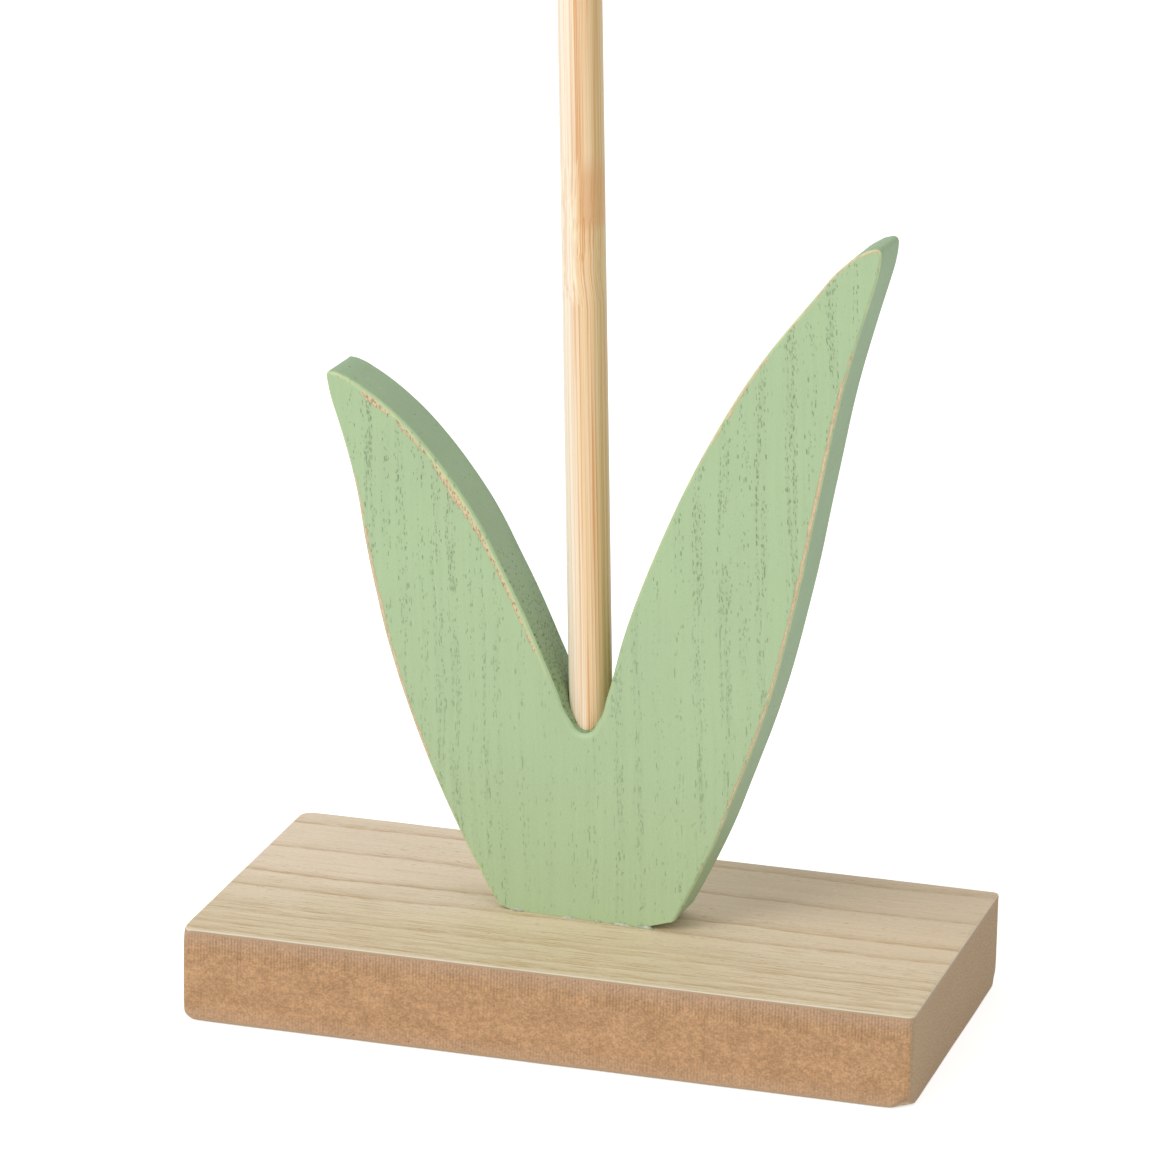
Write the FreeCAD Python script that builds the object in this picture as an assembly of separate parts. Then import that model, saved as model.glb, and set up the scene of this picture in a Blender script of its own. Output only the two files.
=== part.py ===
import FreeCAD, Part
import math
import os

# A wooden tulip: a sawn leaf and a bamboo stem with a sawn blossom stand on a veneered board.
# Millimetres, +Z up. The origin lies under the middle of the base.
# +X runs to the right along the base's long side, and -Y points to the front.

# Base: fibreboard with a wood skin on both faces
base_length = 140.0
base_width = 70.0
base_thickness = 18.0
base_skin = 0.6
base_ease = 0.8
base_corner = 1.3
base_knocked_corner = 2.6

# Corners of the base dulled by sanding, as the leg of the facet along each edge
front_right_wear = 3.6
back_right_wear = 3.2
front_left_wear = 2.2
top_left_wear = 2.0

# Sheet that the leaf and the blossom are sawn from, whose tips stay round inside the sanded arris
sheet_thickness = 12.0
sheet_skin = 0.6
sheet_ease = 0.7
tip_round = 0.2

# Stance of the upright parts: degrees to the left, and degrees about the vertical
lean_angle = 2.07
turn_angle = -2.7

# Leaf: two blades that part above the foot, measured across and up from the middle of the foot
foot_width = 35.0
left_reach = 49.4
left_height = 102.8
right_reach = 57.95
right_height = 132.45
notch_height = 36.9
notch_width = 6.2
notch_depth = 3.1
notch_offset = 0.2
left_lift = 0.9
left_lift_run = 3.2
right_lift = 2.1
right_lift_run = 6.6

# Stem: a round rod glued into a blind hole in the leaf and another in the blossom
stem_diameter = 8.2
stem_offset = -0.3
stem_chamfer = 0.5
stem_fit = 0.05
leaf_socket = 22.0
blossom_socket = 26.0
socket_end_gap = 0.4

# Blossom: three petals over a round belly, measured from its own lowest point
blossom_rise = 232.0
blossom_width = 68.0
blossom_height = 88.0
petal_tip_spread = 60.0
petal_tip_height = 85.0
valley_spread = 28.0
valley_height = 61.0
valley_width = 3.6
valley_depth = 1.8

# Countersunk wood screws from under the base into the foot
screw_diameter = 3.5
screw_length = 35.0
screw_head_diameter = 7.0
screw_point = 5.0
screw_spacing = 20.0
screw_sink = 0.8
screw_hole_play = 0.25
screw_rim_play = 0.2
screw_pilot_play = 0.02
screw_pilot_spare = 1.0
recess_span = 3.6
recess_slot = 0.9
recess_depth = 1.3

# Glue squeezed out in front of the foot: the places are shares of half its width, with a radius each.
# A drop's dome is in shares of its radius, across and up.
glue_shares = (-0.77, -0.18, 0.15, 0.33, 0.68)
glue_radii = (1.1, 1.3, 0.85, 1.1, 1.7)
glue_dome_shares = ((0.0, 0.0), (1.0, 0.0), (0.7, 0.65), (0.0, 0.9))

# One length that every cutting tool runs past the surface it opens
overrun = 5.0

# Edges of the leaf: shares of the way across, then up, from the first end of an edge to its last end
left_outer_shares = (
    (0.154, 0.087),
    (0.293, 0.177),
    (0.435, 0.281),
    (0.646, 0.479),
    (0.756, 0.637),
    (0.852, 0.814),
    (0.920, 0.895),
    (0.981, 0.962),
)
left_inner_shares = ((0.086, 0.013), (0.124, 0.028), (0.621, 0.403), (0.744, 0.574), (0.957, 0.923))
right_inner_shares = (
    (0.025, 0.044),
    (0.107, 0.202),
    (0.225, 0.376),
    (0.384, 0.568),
    (0.568, 0.745),
    (0.756, 0.886),
    (0.860, 0.957),
    (0.920, 0.986),
    (0.966, 0.999),
)
right_outer_shares = (
    (0.021, 0.043),
    (0.033, 0.055),
    (0.106, 0.126),
    (0.178, 0.202),
    (0.291, 0.355),
    (0.399, 0.507),
    (0.566, 0.691),
    (0.695, 0.797),
    (0.794, 0.874),
    (0.888, 0.935),
)

# Edges of the blossom, and its flank in shares of half its width and of the petal tips' height
middle_petal_shares = ((0.55, 0.42),)
side_petal_shares = ((0.42, 0.33),)
flank_shares = ((1.0, 0.60), (0.84, 0.22), (0.42, 0.03))

# Two headings that differ by less than this share of a full turn back count as one
same_heading_share = 1e-9

half_sheet = sheet_thickness / 2
half_foot = foot_width / 2
tip_radius = sheet_ease + tip_round
stem_radius = stem_diameter / 2
screw_radius = screw_diameter / 2
stem_bottom = notch_height - leaf_socket
stem_top = blossom_rise + blossom_socket
up = FreeCAD.Vector(0, 0, 1)
turn = FreeCAD.Rotation(up, turn_angle)
lean = FreeCAD.Rotation(FreeCAD.Vector(0, 1, 0), -lean_angle)
stance = FreeCAD.Placement(FreeCAD.Vector(0, 0, base_thickness), turn.multiply(lean))


def at(x, z):
    """Point in the upright middle plane."""
    return FreeCAD.Vector(x, 0, z)


def line(start, end):
    return Part.LineSegment(start, end).toShape()


def points_by_shares(start, end, shares):
    """Points from start to end, with those between them at shares of the way across and up."""
    way = end - start
    return [start] + [at(start.x + way.x * across, start.z + way.z * rise) for across, rise in shares] + [end]


def with_headings(points):
    """Points of a smooth curve with its direction at each, which is that of the circle through three in a row."""
    legs = [end - start for start, end in zip(points, points[1:])]
    headings = [(a * (1 / a.dot(a)) + b * (1 / b.dot(b))).normalize() for a, b in zip(legs, legs[1:])]
    headings.insert(0, legs[0] * (2 * headings[0].dot(legs[0]) / legs[0].dot(legs[0])) - headings[0])
    headings.append(legs[-1] * (2 * headings[-1].dot(legs[-1]) / legs[-1].dot(legs[-1])) - headings[-1])
    return list(zip(points, headings))


def arc_by_corner(start, corner, end):
    """Arc that touches the two equal legs from start to corner and from corner to end."""
    middle = (start + end) * 0.5
    share = (end - start).Length / 2 / (corner - start).Length
    return Part.Arc(start, middle + (corner - middle) * (share / (1 + share)), end).toShape()


def two_arcs(first, last):
    """Two arcs that meet smoothly, and leave the first point and reach the last along their headings."""
    start, start_heading = first
    end, end_heading = last
    way = end - start
    both = start_heading + end_heading
    bend = 2 * (1 - start_heading.dot(end_heading))
    if bend < same_heading_share:
        reach = way.dot(way) / (4 * way.dot(end_heading))
    else:
        reach = (math.sqrt(way.dot(both) ** 2 + bend * way.dot(way)) - way.dot(both)) / bend
    first_corner = start + start_heading * reach
    last_corner = end - end_heading * reach
    joint = (first_corner + last_corner) * 0.5
    return [arc_by_corner(start, first_corner, joint), arc_by_corner(joint, last_corner, end)]


def outline(rows, foot, inset):
    """Closed wire through rows of points that run clockwise, set in from them by a distance.

    Each row is a smooth edge. It meets the next one at a tip, which is rounded. The last row is joined
    to the first by the straight lines through the foot's points, or by a tip where there is no foot.
    """
    smooth_rows = [with_headings(row) for row in rows]
    next_rows = smooth_rows[1:] + smooth_rows[:1]
    for row, next_row in zip(smooth_rows, next_rows):
        tip, way = row[-1]
        next_way = next_row[0][1]
        if next_row is not smooth_rows[0] or not foot:
            reach = tip_radius * (next_way - way).Length / (next_way + way).Length
            row[-1] = (tip - way * reach, way)
            next_row[0] = (tip + next_way * reach, next_way)
    for row in smooth_rows:
        row[:] = [(point + FreeCAD.Vector(way.z, 0, -way.x) * inset, way) for point, way in row]
    edges = []
    for row, next_row in zip(smooth_rows, next_rows):
        for first, last in zip(row, row[1:]):
            edges += two_arcs(first, last)
        if next_row is not smooth_rows[0] or not foot:
            edges += two_arcs(row[-1], next_row[0])
    if foot:
        corners = [smooth_rows[-1][-1][0]] + foot + [smooth_rows[0][0][0]]
        edges += [line(start, end) for start, end in zip(corners, corners[1:])]
    return Part.Wire(edges)


def sheet_layer(rows, foot, front, back):
    """Part of a sawn sheet between two depths behind its front face, with both arrises sanded off."""
    last_ease = sheet_thickness - sheet_ease
    depths = [front] + [depth for depth in (sheet_ease, last_ease) if front < depth < back] + [back]
    wires = []
    for depth in depths:
        wire = outline(rows, foot, max(0, sheet_ease - depth, depth - last_ease))
        wire.translate(FreeCAD.Vector(0, depth - half_sheet, 0))
        wires.append(wire)
    return Part.makeLoft(wires, True, True)


def sawn_sheet(rows, foot):
    """Front skin, core and back skin of a sheet, parted at the glue lines."""
    glue_line = sheet_thickness - sheet_skin
    front = sheet_layer(rows, foot, 0, sheet_skin)
    core = sheet_layer(rows, foot, sheet_skin, glue_line)
    back = sheet_layer(rows, foot, glue_line, sheet_thickness)
    return front, core, back


def layer(shape, axis, low, high):
    """What a shape has between two levels along an axis."""
    bounds = shape.BoundBox
    first = FreeCAD.Vector(bounds.XMin - overrun, bounds.YMin - overrun, bounds.ZMin - overrun)
    last = FreeCAD.Vector(bounds.XMax + overrun, bounds.YMax + overrun, bounds.ZMax + overrun)
    setattr(first, axis, low)
    setattr(last, axis, high)
    size = last.sub(first)
    return shape.common(Part.makeBox(size.x, size.y, size.z, first))


def turned(profile):
    """Round body about Z, from pairs of a radius and a level."""
    points = [at(radius, level) for radius, level in profile]
    face = Part.Face(Part.makePolygon(points + [points[0]]))
    return face.revolve(at(0, 0), up, 360)


def rod(radius, bottom, top):
    return Part.makeCylinder(radius, top - bottom, at(stem_offset, bottom))


def stand_up(shape):
    """Lean and turn a shape about the middle of the foot, and set it on the base."""
    standing = shape.copy()
    standing.Placement = stance.multiply(shape.Placement)
    return standing


def upright_edges(block, knocked):
    """Upright edges of the block at its back left corner, or all the others."""
    edges = []
    for edge in block.Edges:
        centre = edge.CenterOfMass
        at_back_left = centre.x < 0 < centre.y
        if edge.BoundBox.ZLength > base_thickness / 2 and at_back_left == knocked:
            edges.append(edge)
    return edges


def corner_knife(side_x, side_y, side_z, leg):
    """Block whose face takes one corner off the base, with the same leg along all three edges."""
    outward = FreeCAD.Vector(side_x, side_y, side_z).normalize()
    level = base_thickness if side_z > 0 else 0
    corner = FreeCAD.Vector(side_x * base_length / 2, side_y * base_width / 2, level)
    size = leg + overrun
    knife = Part.makeBox(2 * size, 2 * size, size, FreeCAD.Vector(-size, -size, 0))
    facet = corner.sub(outward * (leg / math.sqrt(3)))
    knife.Placement = FreeCAD.Placement(facet, FreeCAD.Rotation(up, outward))
    return knife


def base_body():
    """The whole sanded board, before it is parted into its core and skins."""
    low = FreeCAD.Vector(-base_length / 2, -base_width / 2, 0)
    body = Part.makeBox(base_length, base_width, base_thickness, low)
    body = body.makeFillet(base_knocked_corner, upright_edges(body, True))
    body = body.makeFillet(base_corner, upright_edges(body, False))
    rims = [edge for edge in body.Edges if edge.BoundBox.ZLength < base_thickness / 2]
    body = body.makeFillet(base_ease, rims)
    body = body.cut(corner_knife(1, -1, -1, front_right_wear))
    body = body.cut(corner_knife(1, 1, -1, back_right_wear))
    body = body.cut(corner_knife(-1, -1, -1, front_left_wear))
    return body.cut(corner_knife(-1, -1, 1, top_left_wear))


def foot_point(across, lift):
    """Point on the foot's sawn line, which lies flat on the base once the leaf leans."""
    return at(across, lift - across * math.tan(math.radians(lean_angle)))


def leaf_sheet():
    """The leaf's layers: its outline runs up the left blade, round by the right one and along the foot."""
    foot_left = foot_point(-half_foot, left_lift)
    rest_left = foot_point(left_lift_run - half_foot, 0)
    rest_right = foot_point(half_foot - right_lift_run, 0)
    foot_right = foot_point(half_foot, right_lift)
    left_tip = at(-left_reach, left_height)
    right_tip = at(right_reach, right_height)
    notch_left = at(notch_offset - notch_width / 2, notch_height + notch_depth)
    notch_right = at(notch_offset + notch_width / 2, notch_height + notch_depth)
    left_outer = points_by_shares(foot_left, left_tip, left_outer_shares)
    inner = points_by_shares(left_tip, notch_left, left_inner_shares)
    inner.append(at(notch_offset, notch_height))
    inner += points_by_shares(notch_right, right_tip, right_inner_shares)
    right_outer = points_by_shares(right_tip, foot_right, right_outer_shares)
    return sawn_sheet([left_outer, inner, right_outer], [rest_right, rest_left])


def mirrored(points):
    """The same row of points on the other side of the middle, in the opposite order."""
    return [at(-point.x, point.z) for point in reversed(points)]


def blossom_sheet():
    """The blossom's layers: its outline runs over the petals, down the right flank and up the left one."""
    valley_left = at((valley_spread - valley_width) / 2, valley_height + valley_depth)
    valley_right = at((valley_spread + valley_width) / 2, valley_height + valley_depth)
    side_tip = at(petal_tip_spread / 2, petal_tip_height)
    petals = points_by_shares(at(0, blossom_height), valley_left, middle_petal_shares)
    petals.append(at(valley_spread / 2, valley_height))
    petals += points_by_shares(valley_right, side_tip, side_petal_shares)
    flank = [at(blossom_width / 2 * across, petal_tip_height * rise) for across, rise in flank_shares]
    flank.insert(0, side_tip)
    belly = flank + [at(0, 0)] + mirrored(flank)
    layers = sawn_sheet([mirrored(petals), petals, belly], [])
    for layer_shape in layers:
        layer_shape.translate(at(stem_offset, blossom_rise))
    return layers


def screw_seats():
    """Middles of the screws on the underside, in line with the turned foot."""
    return [turn.multVec(at(side * screw_spacing / 2, 0)) for side in (-1, 1)]


def screw(seat):
    rim = screw_head_diameter / 2
    profile = [
        (0, 0),
        (rim, 0),
        (screw_radius, rim - screw_radius),
        (screw_radius, screw_length - screw_point),
        (0, screw_length),
    ]
    body = turned(profile)
    for size_x, size_y in ((recess_span, recess_slot), (recess_slot, recess_span)):
        slot = Part.makeBox(size_x, size_y, recess_depth + overrun)
        slot.translate(FreeCAD.Vector(-size_x / 2, -size_y / 2, -overrun))
        body = body.cut(slot)
    body.translate(seat.add(at(0, screw_sink)))
    return body


def base_screw_hole(seat):
    """Clearance hole through the base, with the countersink that the head is sunk in."""
    rim = screw_head_diameter / 2 + screw_rim_play
    radius = screw_radius + screw_hole_play
    top = base_thickness + overrun
    profile = [
        (0, -overrun),
        (rim, -overrun),
        (rim, screw_sink),
        (radius, screw_sink + rim - radius),
        (radius, top),
        (0, top),
    ]
    hole = turned(profile)
    hole.translate(seat)
    return hole


def foot_screw_hole(seat):
    top = screw_sink + screw_length + screw_pilot_spare
    return Part.makeCylinder(screw_radius + screw_pilot_play, top, seat)


def glue_lumps(leaf_pieces):
    """Drops squeezed out along the front of the foot, on the base and against the leaf."""
    lumps = []
    for share, radius in zip(glue_shares, glue_radii):
        place = stance.multVec(FreeCAD.Vector(share * half_foot, -half_sheet, 0))
        place.z = base_thickness
        lump = turned([(radius * across, radius * rise) for across, rise in glue_dome_shares])
        lump.translate(place)
        lumps += lump.cut(leaf_pieces).Solids
    return Part.makeCompound(lumps)


def build():
    """All pieces by name, in their places."""
    seats = screw_seats()
    socket = rod(stem_radius + stem_fit, stem_bottom, stem_top)

    base = base_body()
    for seat in seats:
        base = base.cut(base_screw_hole(seat))

    leaf_front, leaf_core, leaf_back = leaf_sheet()
    leaf_core = stand_up(leaf_core.cut(socket))
    for seat in seats:
        leaf_core = leaf_core.cut(foot_screw_hole(seat))

    blossom_front, blossom_core, blossom_back = blossom_sheet()

    stem = rod(stem_radius, stem_bottom + socket_end_gap, stem_top - socket_end_gap)
    stem_rims = [edge for edge in stem.Edges if edge.BoundBox.ZLength < stem_radius]

    pieces = {
        "base_bottom_veneer": layer(base, "z", -overrun, base_skin),
        "base_core": layer(base, "z", base_skin, base_thickness - base_skin),
        "base_top_veneer": layer(base, "z", base_thickness - base_skin, base_thickness + overrun),
        "leaf_front_veneer": stand_up(leaf_front),
        "leaf_core": leaf_core,
        "leaf_back_veneer": stand_up(leaf_back),
        "stem": stand_up(stem.makeChamfer(stem_chamfer, stem_rims)),
        "blossom_front_veneer": stand_up(blossom_front),
        "blossom_core": stand_up(blossom_core.cut(socket)),
        "blossom_back_veneer": stand_up(blossom_back),
        "base_screws": Part.makeCompound([screw(seat) for seat in seats]),
    }
    leaf_pieces = [pieces["leaf_front_veneer"], pieces["leaf_core"], pieces["leaf_back_veneer"]]
    pieces["foot_glue"] = glue_lumps(leaf_pieces)
    return pieces


os.makedirs("parts", exist_ok=True)
for name, shape in build().items():
    shape.exportStep("parts/" + name + ".step")
    print(name, "solids:", len(shape.Solids), "volume:", round(shape.Volume, 1), "valid:", shape.isValid())
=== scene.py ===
import cmath
import math
from functools import partial

import bmesh
import bpy
import numpy as np
from mathutils import Matrix, Vector, geometry, kdtree, noise


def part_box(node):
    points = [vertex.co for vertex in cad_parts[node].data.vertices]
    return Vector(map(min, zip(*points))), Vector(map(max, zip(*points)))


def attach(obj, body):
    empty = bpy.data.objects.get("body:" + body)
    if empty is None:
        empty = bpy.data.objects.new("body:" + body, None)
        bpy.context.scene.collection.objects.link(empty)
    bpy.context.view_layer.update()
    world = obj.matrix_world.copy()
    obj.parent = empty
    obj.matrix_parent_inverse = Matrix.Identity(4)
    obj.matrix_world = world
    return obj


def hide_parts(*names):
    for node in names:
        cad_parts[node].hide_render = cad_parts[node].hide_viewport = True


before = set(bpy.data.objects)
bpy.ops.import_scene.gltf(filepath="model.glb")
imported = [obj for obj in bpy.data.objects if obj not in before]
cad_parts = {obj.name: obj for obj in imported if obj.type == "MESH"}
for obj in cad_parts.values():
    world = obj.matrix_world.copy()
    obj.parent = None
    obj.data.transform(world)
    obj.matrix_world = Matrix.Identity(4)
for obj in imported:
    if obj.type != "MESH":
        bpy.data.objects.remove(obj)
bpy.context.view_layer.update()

# A wooden tulip: a painted leaf and a bamboo stem with a painted blossom stand on a veneered board.
# Sizes are in millimetres, and mm turns them to metres. +X runs to the right and -Y points to the front.
mm = 0.001

# Board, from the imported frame: its skins, its sanded rims, the radii of its upright corners clockwise from
# the right one at the back, and how much more its right end's rim is sanded at most
board_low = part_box("base_bottom_veneer")[0] / mm
board_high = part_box("base_top_veneer")[1] / mm
board_length, board_width, board_thickness = board_high - board_low
board_skin = 0.6
board_ease = 0.32
board_corners = (1.3, 1.3, 1.3, 2.6)
end_ease_spare = 0.7

# Corners of the board dulled by sanding: the corner's side on each axis, and the leg of the facet
dulled_corners = (((1, -1, -1), 3.6), ((1, 1, -1), 3.2), ((-1, -1, -1), 2.2), ((-1, -1, 1), 2.0))
dulled_softness = 0.35

# Sheet that the leaf and the blossom are sawn from
sheet_thickness = 12.0
sheet_skin = 0.6
sheet_ease = 0.7
tip_round = 0.2
tip_radius = sheet_ease + tip_round

# Stance of the upright parts
lean_angle = 2.07
turn_angle = -2.7
turned = Matrix.Rotation(math.radians(turn_angle), 4, "Z")
on_board = Matrix.Translation((0, 0, board_thickness)) @ turned
stance = on_board @ Matrix.Rotation(math.radians(-lean_angle), 4, "Y")

# Leaf, measured across and up from the middle of its foot, whose two corners are rubbed off
foot_width = 35.0
foot_ease = 0.08
left_tip = complex(-49.4, 102.8)
right_tip = complex(57.95, 132.45)
notch_bottom = complex(0.2, 36.9)
notch_width = 6.2
notch_depth = 3.1
left_lift = 0.9
left_lift_run = 3.2
right_lift = 2.1
right_lift_run = 6.6

# Stem: its blind holes are wider and longer by the fit and the gap, and the cane's joint is a height
stem_diameter = 8.2
stem_offset = -0.3
stem_fit = 0.05
stem_bottom = 15.3
stem_top = 257.6
stem_sides = 144
socket_end_gap = 0.4
cane_joint = 125.0

# Blossom, measured from its own lowest point
blossom_rise = 232.0
blossom_width = 68.0
blossom_height = 88.0
petal_tip = complex(30.0, 85.0)
valley_bottom = complex(14.0, 61.0)
valley_width = 3.6
valley_depth = 1.8

# Screws under the board
screw_diameter = 3.5
screw_length = 35.0
screw_head_diameter = 7.0
screw_point = 5.0
screw_spacing = 20.0
screw_sink = 0.8
screw_hole_play = 0.25
screw_rim_play = 0.2
screw_pilot_play = 0.02
screw_pilot_spare = 1.0
screw_sides = 48
screw_shank = 11.0
head_edge = 0.25
thread_step = 0.16
thread_pitch = 1.6
thread_height = 0.4
thread_share = 0.32
recess_span = 3.6
recess_slot = 0.9
recess_depth = 1.3
recess_taper = 0.15

# Length that a cutting tool runs past the surface it opens, and the number of sides of a round tool
overrun = 5.0
hole_sides = 64

# Studio, in metres: the room's light, the lamps' power, and the floor with the glow it shows the camera
room_light = 0.59
key_power = 13.2
fill_power = 2.0
lamp_size = 0.9
lamp_aim = (0, 0, 0.08)
floor_gap = 0.0002
floor_reach = 3.0
floor_glow = 0.62
floor_white = 0.8

# Edges: shares of the way across, then up, from the first end of an edge to its last end
left_outer_shares = (
    (0.154, 0.087), (0.293, 0.177), (0.435, 0.281), (0.646, 0.479), (0.756, 0.637), (0.852, 0.814),
    (0.920, 0.895), (0.981, 0.962),
)
left_inner_shares = ((0.086, 0.013), (0.124, 0.028), (0.621, 0.403), (0.744, 0.574), (0.957, 0.923))
right_inner_shares = (
    (0.025, 0.044), (0.107, 0.202), (0.225, 0.376), (0.384, 0.568), (0.568, 0.745), (0.756, 0.886),
    (0.860, 0.957), (0.920, 0.986), (0.966, 0.999),
)
right_outer_shares = (
    (0.021, 0.043), (0.033, 0.055), (0.106, 0.126), (0.178, 0.202), (0.291, 0.355), (0.399, 0.507),
    (0.566, 0.691), (0.695, 0.797), (0.794, 0.874), (0.888, 0.935),
)
middle_petal_shares = ((0.55, 0.42),)
side_petal_shares = ((0.42, 0.33),)
flank_shares = ((1.0, 0.60), (0.84, 0.22), (0.42, 0.03))

# Where sanding went through the paint, along each edge of the leaf in the order of the outline:
# millimetres along the edge, how much wood shows, from where to where it shows, measured in from the edge,
# and how pale the line on the rim is, partly paint that sanding has thinned and partly a painted highlight.
left_outer_wear = (
    (0, 0.0, -0.1, 0.5, 1.0), (24, 0.0, -0.2, 0.6, 0.9), (34, 0.85, -0.2, 0.65, 0.5),
    (60, 0.95, -0.2, 0.75, 0.5), (80, 0.8, -0.2, 0.65, 0.6), (90, 0.1, 0.0, 0.4, 0.8),
    (108, 0.0, 0.0, 0.3, 0.8),
)
inner_wear = (
    (0, 0.3, 0.15, 0.5, 0.6), (6, 0.3, 0.15, 0.7, 0.6), (9, 1.0, 0.15, 1.35, 0.7),
    (13, 0.8, 0.15, 0.8, 0.7), (15, 0.5, 0.15, 0.65, 0.7), (19, 0.9, 0.15, 0.9, 0.7),
    (24, 0.6, 0.15, 0.65, 0.7), (29, 0.9, 0.15, 0.85, 0.7), (34, 1.0, 0.15, 1.6, 0.8),
    (38, 0.9, 0.15, 1.2, 0.8), (45, 0.9, 0.15, 0.8, 0.7), (56, 0.8, 0.15, 0.75, 0.7),
    (66, 0.7, 0.15, 0.7, 0.6), (71, 0.0, 0.2, 0.6, 0.3), (80, 0.0, 0.2, 0.5, 0.1),
    (108, 0.0, 0.2, 0.5, 0.15), (118, 0.0, 0.2, 0.5, 0.6), (142, 0.2, 0.2, 0.5, 0.9),
    (152, 0.8, 0.2, 0.7, 0.9), (164, 0.7, 0.2, 0.7, 0.9), (176, 0.5, 0.1, 0.5, 1.0),
    (186, 0.9, 0.1, 0.4, 0.8), (198, 1.0, 0.1, 0.5, 0.7),
)
right_outer_wear = (
    (0, 0.3, 0.1, 0.4, 0.7), (4, 0.0, 0.25, 0.6, 0.9), (16, 0.1, 0.25, 0.6, 0.9), (20, 0.6, 0.25, 0.65, 0.8),
    (28, 1.0, 0.25, 0.9, 0.8), (60, 1.0, 0.25, 0.95, 0.8), (96, 0.95, 0.25, 0.8, 0.7),
    (114, 0.6, 0.25, 0.7, 0.5), (134, 0.1, 0.25, 0.6, 0.3),
)
blossom_wear = ((0, 0.25, 0.2, 0.8, 0.4),)

# The back shows half as much bare wood, as wide as on the front
back_wear = np.array((0.5, 1, 1))

# How much wider than elsewhere the sanded rim is, and how rough the sawn side is, along the same edges
level_all_along = ((0, 0.0),)
rim_spares = (
    ((0, 0.0), (5, 0.25), (88, 0.25), (100, 0.0)),
    ((0, 0.25), (20, 0.6), (86, 0.75), (96, 0.45), (104, 0.0)),
    ((0, -0.2),),
)
side_roughness = (
    level_all_along, ((44, 0.0), (57, 0.35), (70, 1.0), (84, 0.8), (92, 0.0)), level_all_along,
)

# Strings of open pores in the leaf's face: the place across, and how dense they are
pore_strings = (
    (-44.5, 0.25), (-41.0, 0.9), (-37.5, 0.3), (-34.5, 0.6), (-31.0, 0.35), (-28.0, 0.7), (-25.0, 0.9),
    (-21.5, 0.35), (-18.5, 0.7), (-16.5, 0.6), (-12.0, 0.3), (-7.0, 0.3), (-2.5, 0.2), (1.7, 0.5), (7.0, 0.7),
    (11.0, 0.6), (15.0, 0.3), (19.0, 0.3), (23.0, 0.8), (28.0, 1.0), (32.0, 0.3), (35.0, 0.8), (41.0, 1.0),
    (45.0, 0.35), (49.0, 0.9), (53.0, 0.5),
)

# Growth lines of the board's veneer: the place across the grain, and how dark the line is
growth_lines = (
    (-32.9, 0.7), (-28.6, 0.5), (-26.0, 0.35), (-21.4, 0.6), (-17.8, 0.45), (-7.5, 0.75), (0.8, 0.95),
    (15.5, 0.75), (30.1, 0.8),
)

# Reach of the slow bends in the grain, slope of the board's growth lines, and pitch of its saw marks
sway_reach = 2.4
growth_slope = 0.0115
saw_pitch = 0.6

# Glue squeezed out in front of the foot: shares of half its width, with the drop's reach along the foot,
# out from it and up
glue_drops = (
    (-0.77, 1.5, 0.4, 0.75), (-0.17, 1.5, 0.35, 0.5), (0.15, 0.9, 0.35, 0.4), (0.42, 2.4, 0.35, 0.5),
    (0.68, 1.8, 0.5, 0.7),
)

# Unevenness of sawn sides: how far they lie back, and the steps and sizes of the blade's chatter
saw_relief = 0.03
felt_relief = 0.025
chatter_step = 4.0
chatter_length = 2.2
chatter_height = 9.0

# Steps of the meshes: along edges and arcs, rows of points in from a face's edge with the stops that each
# row skips, the grid inside them, and the rings of a rounded rim and of a side
edge_step = 0.4
board_step = 0.22
straight_turn = 1e-6
arc_turn = math.radians(4)
face_insets = ((0.15, 1), (0.4, 1), (0.8, 2), (1.4, 2), (2.3, 4), (3.6, 6))
face_grid = 3.0
arris_rings = 7
flank_steps = (0.0, 0.1, 0.5, 1.0)
wall_ring_step = 1.0
crisp_angle = math.radians(40)


def dot(first, second):
    """Dot product of two plane vectors, written as complex numbers."""
    return (first * second.conjugate()).real


def headings(points):
    """Direction of a smooth curve at each of its points: that of the circle through three in a row."""
    legs = [end - start for start, end in zip(points, points[1:])]
    ways = [first / abs(first) ** 2 + last / abs(last) ** 2 for first, last in zip(legs, legs[1:])]
    ways = [way / abs(way) for way in ways]
    ways.insert(0, legs[0] * (2 * dot(ways[0], legs[0]) / abs(legs[0]) ** 2) - ways[0])
    ways.append(legs[-1] * (2 * dot(ways[-1], legs[-1]) / abs(legs[-1]) ** 2) - ways[-1])
    return ways


def arc(start, way, end, step):
    """Stops along an arc, each a point and the direction there, without the end."""
    chord = end - start
    half_turn = cmath.phase(chord / way)
    count = max(1, math.ceil(max(abs(chord) / step, abs(half_turn) / arc_turn)))
    stops = []
    for index in range(count):
        share = index / count
        grown = share
        if abs(half_turn) > straight_turn:
            grown = math.sin(share * half_turn) / math.sin(half_turn)
        point = start + chord * cmath.exp(1j * (share - 1) * half_turn) * grown
        stops.append((point, way * cmath.exp(2j * share * half_turn)))
    return stops


def two_arcs(first, last):
    """Stops along two arcs that meet smoothly, from one point and direction to the next, without the end."""
    start, start_way = first
    end, end_way = last
    way = end - start
    both = start_way + end_way
    bend = 2 * (1 - dot(start_way, end_way))
    if bend < straight_turn:
        reach = abs(way) ** 2 / (4 * dot(way, end_way))
    else:
        reach = (math.sqrt(dot(way, both) ** 2 + bend * abs(way) ** 2) - dot(way, both)) / bend
    first_corner = start + start_way * reach
    last_corner = end - end_way * reach
    joint = (first_corner + last_corner) / 2
    across = last_corner - first_corner
    return arc(start, start_way, joint, edge_step) + arc(joint, across / abs(across), end, edge_step)


def by_shares(start, end, shares):
    """Points from start to end, with those between them at shares of the way across and up."""
    way = end - start
    return [start] + [start + complex(way.real * across, way.imag * rise) for across, rise in shares] + [end]


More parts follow.
